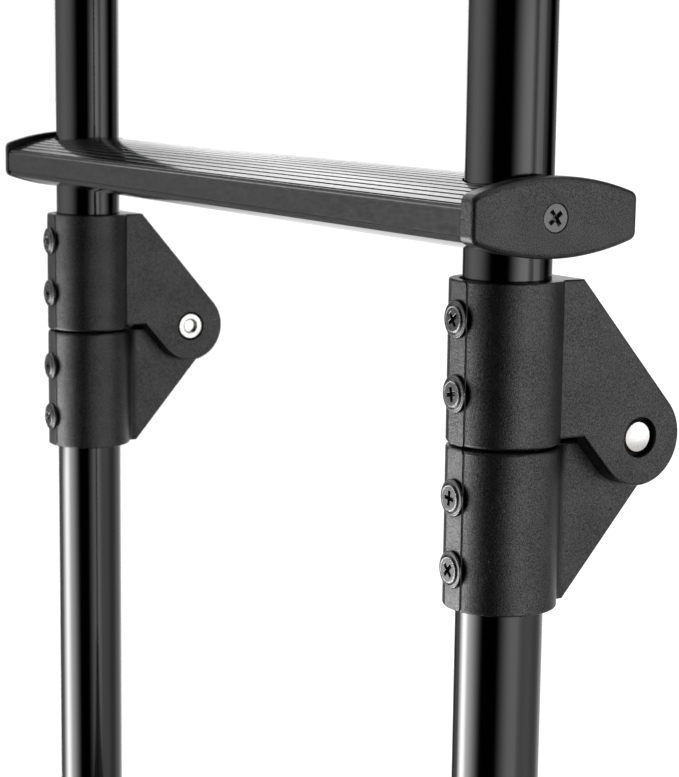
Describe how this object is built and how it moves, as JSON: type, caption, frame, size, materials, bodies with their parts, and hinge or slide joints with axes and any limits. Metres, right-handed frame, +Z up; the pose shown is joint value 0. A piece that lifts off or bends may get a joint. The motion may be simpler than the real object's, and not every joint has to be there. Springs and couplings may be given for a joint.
{
  "type": "folding ladder",
  "caption": "Compact folding ladder with two tube rails, bowed ribbed steps with screwed end caps, and a moulded fork-and-tongue hinge on each rail.",
  "frame": {"origin": "middle of the bounding footprint, on the floor under the feet", "axes": "+X along the steps to the right-hand rail, -Y towards the climber, +Z up along the rails"},
  "size_m": [0.3434, 0.0842, 0.912],
  "materials": {
    "coated_rail": "glossy black coating",
    "anodised_step": "satin black anodising",
    "moulded_hinge": "fine matte texture, glass-filled",
    "moulded_cap": "smooth matte",
    "plug_plastic": "matte",
    "black_screw": "black oxide",
    "pin_steel": "bright stainless",
    "foot_rubber": "matte rubber"
  },
  "bodies": {
    "lower_section": {"left_cap_screw_step_1": "black_screw", "left_cap_step_1": "moulded_cap", "left_foot": "foot_rubber", "left_hinge_tongue": "moulded_hinge", "left_lower_rail": "coated_rail", "left_tongue_screws": "black_screw", "right_cap_screw_step_1": "black_screw", "right_cap_step_1": "moulded_cap", "right_foot": "foot_rubber", "right_hinge_tongue": "moulded_hinge", "right_lower_rail": "coated_rail", "right_tongue_screws": "black_screw", "step_1": "anodised_step"},
    "upper_section": {"left_cap_screw_step_2": "black_screw", "left_cap_screw_step_3": "black_screw", "left_cap_step_2": "moulded_cap", "left_cap_step_3": "moulded_cap", "left_fork_screws": "black_screw", "left_hinge_fork": "moulded_hinge", "left_hinge_pin": "pin_steel", "left_top_plug": "plug_plastic", "left_upper_rail": "coated_rail", "right_cap_screw_step_2": "black_screw", "right_cap_screw_step_3": "black_screw", "right_cap_step_2": "moulded_cap", "right_cap_step_3": "moulded_cap", "right_fork_screws": "black_screw", "right_hinge_fork": "moulded_hinge", "right_hinge_pin": "pin_steel", "right_top_plug": "plug_plastic", "right_upper_rail": "coated_rail", "step_2": "anodised_step", "step_3": "anodised_step"}
  },
  "joints": [
    {"name": "fold", "type": "hinge", "parent": "lower_section", "child": "upper_section", "pos_m": [0, 0.0275, 0.457], "axis": [-1, 0, 0], "range_deg": [0, 180]}
  ]
}
